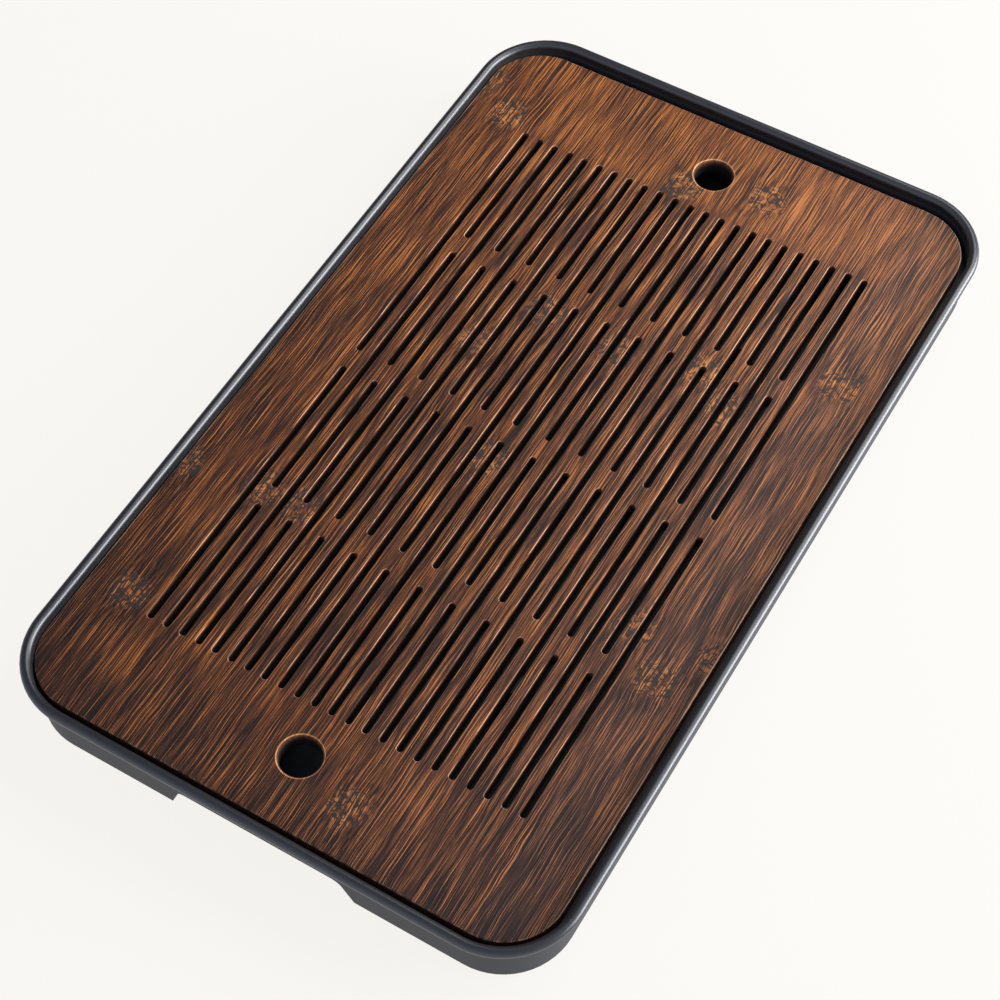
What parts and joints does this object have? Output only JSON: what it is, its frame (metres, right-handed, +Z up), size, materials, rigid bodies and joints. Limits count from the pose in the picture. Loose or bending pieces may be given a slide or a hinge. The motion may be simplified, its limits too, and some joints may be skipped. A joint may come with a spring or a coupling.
{
  "type": "gongfu tea tray",
  "caption": "Low rectangular tea tray: a slotted bamboo board with finger holes lies loose in a moulded basin with a rolled rim and grip recesses at its ends.",
  "frame": {"origin": "on the table, under the middle of the tray", "axes": "+Z up; +Y along the long side, away from the end nearest the picture's camera; +X to the right"},
  "size_m": [0.255, 0.422, 0.031],
  "materials": {
    "base_plastic": "satin charcoal, moulded",
    "bamboo": "carbonised bamboo strips, satin oiled",
    "pad_rubber": "matt"
  },
  "bodies": {
    "base": {"tray_base": "base_plastic", "pad_front_left": "pad_rubber", "pad_front_right": "pad_rubber", "pad_rear_left": "pad_rubber", "pad_rear_right": "pad_rubber"},
    "board": {"top_board": "bamboo"}
  },
  "joints": [
    {"name": "board_lift", "type": "slide", "parent": "base", "child": "board", "axis": [0, 0, 1], "range_m": [0, 0.06]}
  ]
}
